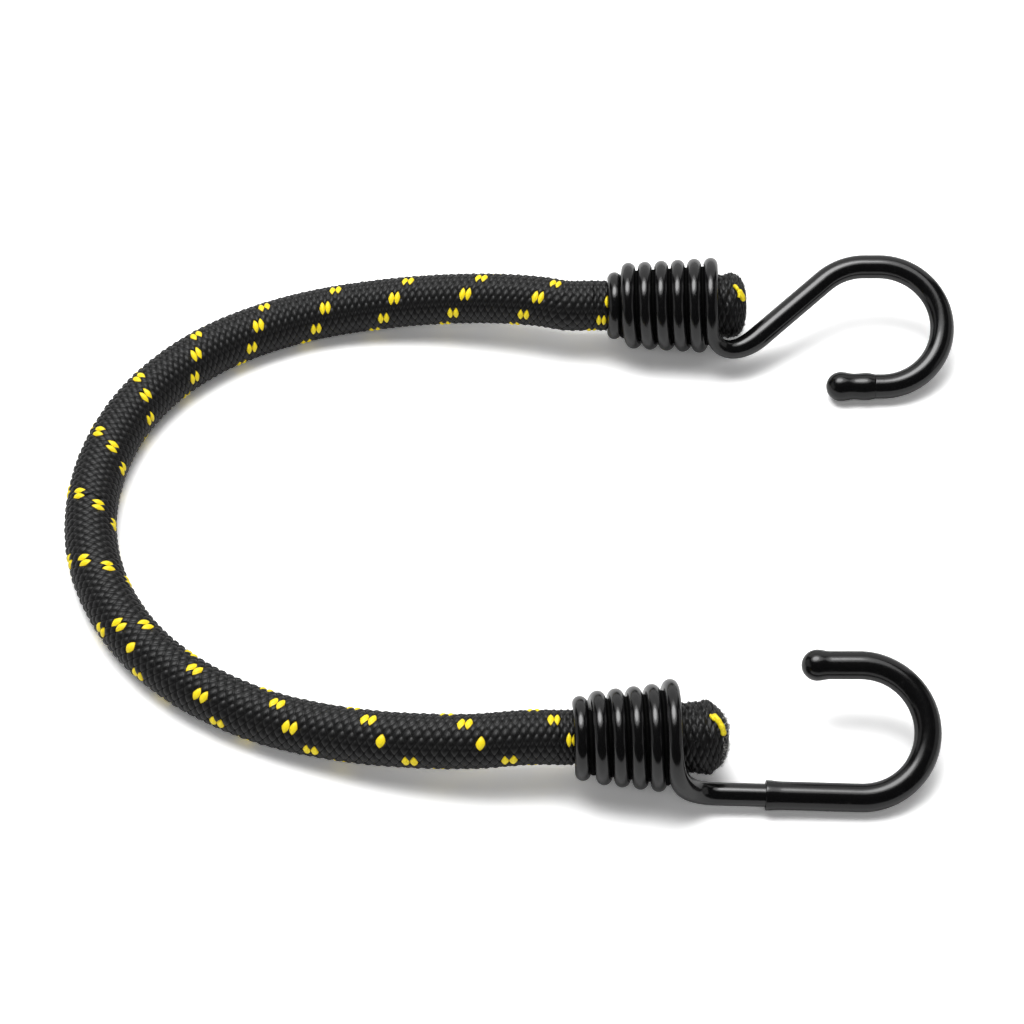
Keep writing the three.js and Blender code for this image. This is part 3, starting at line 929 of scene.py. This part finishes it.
def braided_yarn():
    """Black yarn with the yellow tracer. The gaps between the grains are painted dark, as shade."""
    material, tree, shader = finish_material(
        "braided black yarn", Sheen_Weight=0.015, Sheen_Roughness=0.5, Specular_IOR_Level=0.38
    )
    uv = put(tree, "ShaderNodeUVMap", uv_map="yarn")
    at = put(tree, "ShaderNodeSeparateXYZ", {"Vector": uv.outputs[0]}).outputs
    tracer = put(tree, "ShaderNodeAttribute", attribute_name="tracer").outputs["Fac"]
    shade = put(tree, "ShaderNodeAttribute", attribute_name="grain_shade").outputs["Fac"]
    given = {"Across": at["X"], "Along": at["Y"]}
    threads = put(tree, "ShaderNodeGroup", given, node_tree=filaments).outputs
    proud = out_of_groove(tree, at)
    thread = threads["Shade"]
    black = mixed(tree, thread, (0.0008, 0.0008, 0.0009, 1), (0.0045, 0.0045, 0.005, 1))
    faded = mixed(tree, shade, black, grey(0.003))
    yellow = mixed(tree, thread, (0.93, 0.66, 0.002, 1), (1.0, 0.86, 0.02, 1))
    whole = mixed(tree, tracer, faded, yellow)
    # Painted shade: near black in the grooves, and a darker yellow at a fleck's edge.
    painted_groove_shade = mixed(tree, tracer, grey(0.0008), (0.6, 0.4, 0.002, 1))
    coloured(tree, shader, proud, painted_groove_shade, whole)
    roughened(tree, shader, proud, 0.95, 0.44)
    bumped(tree, shader, threads["Height"], 0.35, 0.04 * MM)
    return material


def tracer_yarn():
    """The yellow tracer where it has come loose at a cut end, with filaments along it."""
    material, tree, shader = finish_material("loose yellow tracer", Specular_IOR_Level=0.45)
    height, _ = grained(tree, 2600, 0.7)
    share = ranged(tree, height, 0.35, 0.65)
    coloured(tree, shader, share, (0.85, 0.6, 0.002, 1), (1.0, 0.88, 0.03, 1))
    roughened(tree, shader, height, 0.7, 0.5)
    bumped(tree, shader, height, 0.5, 0.08 * MM)
    return material


def grained_finish(name, colours, specular, scale, specks, rough=None, bump=None, **fixed):
    """A finish with a fine grain: its two colours, range of roughness, and bump with its depth."""
    material, tree, shader = finish_material(name, Specular_IOR_Level=specular, **fixed)
    height, mask = grained(tree, scale, specks)
    coloured(tree, shader, mask, *colours)
    if rough:
        roughened(tree, shader, height, *rough)
    if bump:
        bumped(tree, shader, height, *bump)
    return material


braid_finish = braided_yarn()
tracer_finish = tracer_yarn()

# Single filaments of the yarn, which look greyer than the braid
dark = grey(0.01), (0.05, 0.05, 0.052, 1)
pale = grey(0.2), (0.8, 0.79, 0.77, 1)
filament = dict(specular=0.4, scale=900, specks=0.5, rough=(0.7, 0.5))
dark_fibre_finish = grained_finish("frayed black filaments", dark, **filament)
pale_fibre_finish = grained_finish("frayed grey filaments", pale, **filament)

# The glossy dip coat, with the slight orange peel of dipping. Between the turns, painted shade.
black = (0.0028, 0.0028, 0.003, 1)
dip_finish = grained_finish(
    "glossy black dip coat", (black, grey(0.012)),
    specular=0.6, scale=1500, specks=0.7, rough=(0.11, 0.22), bump=(0.1, 0.04 * MM),
)
# Painted shade: a dull, near-black finish for the bridge between the turns.
gap_shade_finish = grained_finish(
    "dull coat between the turns", (grey(0.001), grey(0.003)),
    specular=0.1, scale=1500, specks=0.6, bump=(0.1, 0.04 * MM), Roughness=0.9,
)

# The softer gloss of the sleeve and of the cap
vinyl_finish = grained_finish(
    "smooth black vinyl", (black, grey(0.007)),
    specular=0.5, scale=1100, specks=0.68, rough=(0.12, 0.24), bump=(0.06, 0.04 * MM),
)

# The rubber core, mottled and dusted with talc
latex_finish = grained_finish(
    "natural latex", ((0.5, 0.42, 0.29, 1), (0.66, 0.6, 0.49, 1)),
    specular=0.3, scale=700, specks=0.6, rough=(0.55, 0.8), bump=(0.2, 0.1 * MM),
)


# ---- the cord, laid out and gripped

# The free cord is made in two halves, because a blend works across one joint. They meet where the
# cord lies furthest from the hooks.
SEAM_STEP = int(np.argmin(cord.at(along_at(np.arange(LAST_STEP + 1)))[0][:, 0]))


def free_arm(hook, first, last):
    """Half of the free cord, sheath and strands, which reaches to the end that it leads to."""
    arm = braided_sheath(f"{hook.name}_braided_arm", first, last)
    arm.data.materials.append(braid_finish)
    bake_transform(arm)
    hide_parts("sheath")
    near = max(along_at(first - 0.5), 0)
    far = min(along_at(last + 0.5), cord.free_length)
    for i in range(STRANDS):
        strand = rubber_strand(f"{hook.name}_core_strand_{i + 1}", i, near, far)
        strand.data.materials.append(latex_finish)
        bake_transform(strand)
        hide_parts(f"rubber_strand_{i + 1}")
    route = cord.at(np.linspace(near, far, 60))[0]
    if hook is lower:
        route = route[::-1]


def gripped_end(hook):
    """The cord inside a coil, with the stub that stands out of it."""
    closed_at = hook.straight + DOME_ARC * DOME_CLOSED
    if hook is upper:
        first, last = int(np.floor(step_at(-closed_at))), -1
        domed, span = first, (-hook.straight, -SEAM_GAP)
    else:
        first, last = LAST_STEP + 1, int(np.ceil(step_at(cord.free_length + closed_at)))
        domed, span = last, (cord.free_length + SEAM_GAP, cord.free_length + hook.straight)
    gripped = braided_sheath(f"{hook.name}_braided_end", first, last, domed)
    gripped.data.materials.append(braid_finish)
    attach(gripped, f"{hook.name}_cord_end")
    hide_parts(f"{hook.name}_sheath_end")
    for i in range(STRANDS):
        strand = rubber_strand(f"{hook.name}_core_end_{i + 1}", i, *span)
        strand.data.materials.append(latex_finish)
        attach(strand, f"{hook.name}_cord_end")
        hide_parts(f"{hook.name}_strand_end_{i + 1}")


free_arm(upper, 0, SEAM_STEP)
free_arm(lower, SEAM_STEP + 1, LAST_STEP)
for hook in (upper, lower):
    gripped_end(hook)

# Name, hook, thickness in mm and stops
TUFTS = [
    ("upper_tracer_tuft_1", upper, 0.8, [(27.8, -3, -0.1), (28.3, -8, 0.15), (29, -14, 0)]),
    ("upper_tracer_tuft_2", upper, 1.1,
     [(29, -13, 0), (29.7, -18, 0.15), (30.5, -25, 0.15), (31.1, -32, -0.1)]),
    ("upper_tracer_tuft_3", upper, 0.7, [(29.5, -17, 0.05), (29.3, -22, 0.2), (29.3, -27, 0)]),
    ("lower_tracer_tuft_1", lower, 1.1,
     [(27.5, -6, 0), (28.1, 3, 0.25), (29, 15, 0.3), (29.9, 30, 0)]),
    ("lower_tracer_tuft_2", lower, 0.6, [(27.0, -5, 0), (27.2, 1, 0.2), (27.9, 6, 0)]),
]
# Name, hook, count, longest in mm, seed, how far past the dome's start the roots are in mm, finish
FIBRES = [
    ("upper_frayed_fibres", upper, 500, 0.8, 11, (-2.2, 6.2), dark_fibre_finish),
    ("lower_frayed_fibres", lower, 500, 0.9, 12, (-3, 6.2), dark_fibre_finish),
    ("lower_frayed_rim", lower, 420, 1.1, 13, (3.2, 6.4), pale_fibre_finish),
]


def join_cut_end(piece, hook, finish):
    piece.data.materials.append(finish)
    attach(piece, f"{hook.name}_cord_end")


for name, hook, thick, stops in TUFTS:
    join_cut_end(loose_yarn(name, hook, thick * MM, stops), hook, tracer_finish)
for name, hook, count, longest, seed, spread, finish in FIBRES:
    fibres = loose_fibres(name, hook, count, longest * MM, seed, spread)
    join_cut_end(fibres, hook, finish)


# ---- the hooks


def upper_hook():
    """The hook with a slanting shank and a wide crown. Its capped tip lies on the floor."""
    shank_rise = upper.shank_length * math.sin(upper.shank_slope)
    rise = shank_rise + upper.bend * (1 - math.cos(upper.shank_slope))
    tip_across = upper.shank_start[1] + rise - 2 * upper.bend
    lift = (upper.ball - COIL_HEIGHT - tip_across * math.sin(HOOK_TILT)) / math.cos(HOOK_TILT)
    to_crown = [(upper.shank_length, 0), (0, -upper.shank_slope), (upper.crown, 0)]
    moves = to_crown + [(0, -math.pi), (upper.tip, 0)]
    line = hook_line(upper, lift, moves)
    cap_start = line.end + upper.ball - upper.cover
    tip_start = line.end - upper.tip
    crown = tip_start - math.pi * upper.bend

    def width_at(d):
        """The coat is a little thicker round the crown, and again towards the tip."""
        at_crown = smooth(crown - 12 * MM, crown, d)
        at_tip = smooth(crown + 18 * MM, tip_start, d)
        return (2.3 + 0.05 * at_crown + 0.09 * at_tip) * MM

    wire = hook_wire("upper_dipped_wire", upper, line, width_at, cap_start)
    profile = []
    for d in np.arange(cap_start, line.end - 0.2 * MM, 0.3 * MM):
        grown = smooth(cap_start - 0.4 * MM, cap_start + 1.6 * MM, d)
        waist = smooth(cap_start + 1.6 * MM, cap_start + 4 * MM, d)
        ball = smooth(line.end - 2.6 * MM, line.end, d)
        profile.append((d, (2.44 + 0.27 * grown - 0.15 * waist + 0.34 * ball) * MM))
    profile += rounded_tip(line.end, radius=2.9 * MM)
    return wire, hook_cover("upper_tip_cap", line, profile, wall=0.5 * MM, rim=0.04 * MM)


def lower_hook():
    """The hook with a straight shank. The mouth of its vinyl sleeve lies on the floor."""
    mouth_radius = 2.75
    sleeve_across = lower.shank_start[1] + lower.shank_length * math.sin(lower.shank_slope)
    lift = mouth_radius * MM - COIL_HEIGHT - sleeve_across * math.sin(HOOK_TILT)
    lift /= math.cos(HOOK_TILT)
    moves = [(lower.shank_length, 0), (0, math.pi - lower.shank_slope), (lower.tip, 0)]
    line = hook_line(lower, lift, moves)
    sleeve_start = line.end + lower.ball - lower.cover
    core_start = sleeve_start + 1.5 * MM
    wire = hook_wire("lower_dipped_wire", lower, line, lambda d: 2.1 * MM, core_start)
    tip_start = line.end - lower.tip
    shank_end = tip_start - math.pi * lower.bend
    profile = []
    for d in np.arange(sleeve_start, line.end - 0.2 * MM, 0.4 * MM):
        settled = smooth(sleeve_start, sleeve_start + 3 * MM, d)
        into_bend = smooth(shank_end, shank_end + 12 * MM, d)
        drawn = into_bend * (1 - smooth(tip_start - 8 * MM, tip_start, d))
        ball = smooth(line.end - 2.2 * MM, line.end, d)
        profile.append((d, (mouth_radius - 0.17 * settled - 0.1 * drawn + 0.29 * ball) * MM))
    profile += rounded_tip(line.end, radius=2.87 * MM)
    sleeve = "lower_hook_sleeve_vinyl"
    return wire, hook_cover(sleeve, line, profile, wall=0.45 * MM, rim=0.12 * MM)


upper_wire, upper_cap = upper_hook()
lower_wire, lower_sleeve = lower_hook()
for piece, body, node, finish in (
    (upper_wire, "upper_hook", "upper_hook_wire", "wire"),
    (upper_cap, "upper_hook", "upper_hook_tip_cap", "vinyl"),
    (lower_wire, "lower_hook", "lower_hook_wire", "wire"),
    (lower_sleeve, "lower_hook", "lower_hook_sleeve", "vinyl"),
):
    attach(piece, body)
    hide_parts(node)


# ---- floor and light


def lay_floor():
    """A floor that is blank white to the camera and greyer where the object mirrors it."""
    bpy.ops.mesh.primitive_plane_add(size=8, location=(0, 0, 0))
    floor = bpy.context.object
    floor.name = "studio_floor"
    material, tree, shader = finish_material("white sweep", Roughness=0.9, Specular_IOR_Level=0.0)
    rays = put(tree, "ShaderNodeLightPath").outputs
    unseen = mixed(tree, rays["Is Glossy Ray"], grey(0.85), grey(0.68))
    coloured(tree, shader, rays["Is Camera Ray"], unseen, grey(1.42))
    floor.data.materials.append(material)
    floor.select_set(False)


def add_panel(name, location, tilt, size, brightness, shape="RECTANGLE", turn=0, mirrored=True):
    """A flat soft light. Its brightness is what its face shows."""
    rotation = (math.radians(tilt), 0, math.radians(turn))
    bpy.ops.object.light_add(type="AREA", location=location, rotation=rotation)
    panel = bpy.context.object
    panel.name = name
    panel.data.shape = shape
    panel.data.size, panel.data.size_y = size
    area = size[0] * size[1] * (math.pi / 4 if shape == "ELLIPSE" else 1)
    panel.data.energy = brightness * math.pi * area
    panel.visible_camera = False
    panel.visible_glossy = mirrored
    panel.select_set(False)


def light_studio():
    """A softbox with a brighter middle, a bounce behind, side walls and a fill in front."""
    add_panel("softbox_overhead", (-0.2, 0.225, 0.9), -14, (1.3, 0.84), 2.2, "ELLIPSE")
    add_panel("softbox_core", (-0.2, 0.22, 0.88), -14, (0.72, 0.48), 6.4, "ELLIPSE")
    add_panel("bounce_behind", (-0.03, 1.3, 0.75), -75, (2.6, 1.5), 0.7)
    add_panel("wall_left", (-1.6, 0, 0.5), 90, (1.8, 0.9), 0.38, turn=-90)
    add_panel("wall_right", (1.5, 0, 0.5), 90, (1.8, 0.9), 0.38, turn=90)
    add_panel("fill_in_front", (-0.05, -1.2, 0.9), 53, (2.4, 1.4), 0.74, mirrored=False)
    world = bpy.data.worlds.new("dim studio")
    world.use_nodes = True
    world.node_tree.nodes["Background"].inputs["Color"].default_value = grey(0.03)
    scene.world = world


lay_floor()
light_studio()
scene.view_settings.view_transform = "Standard"
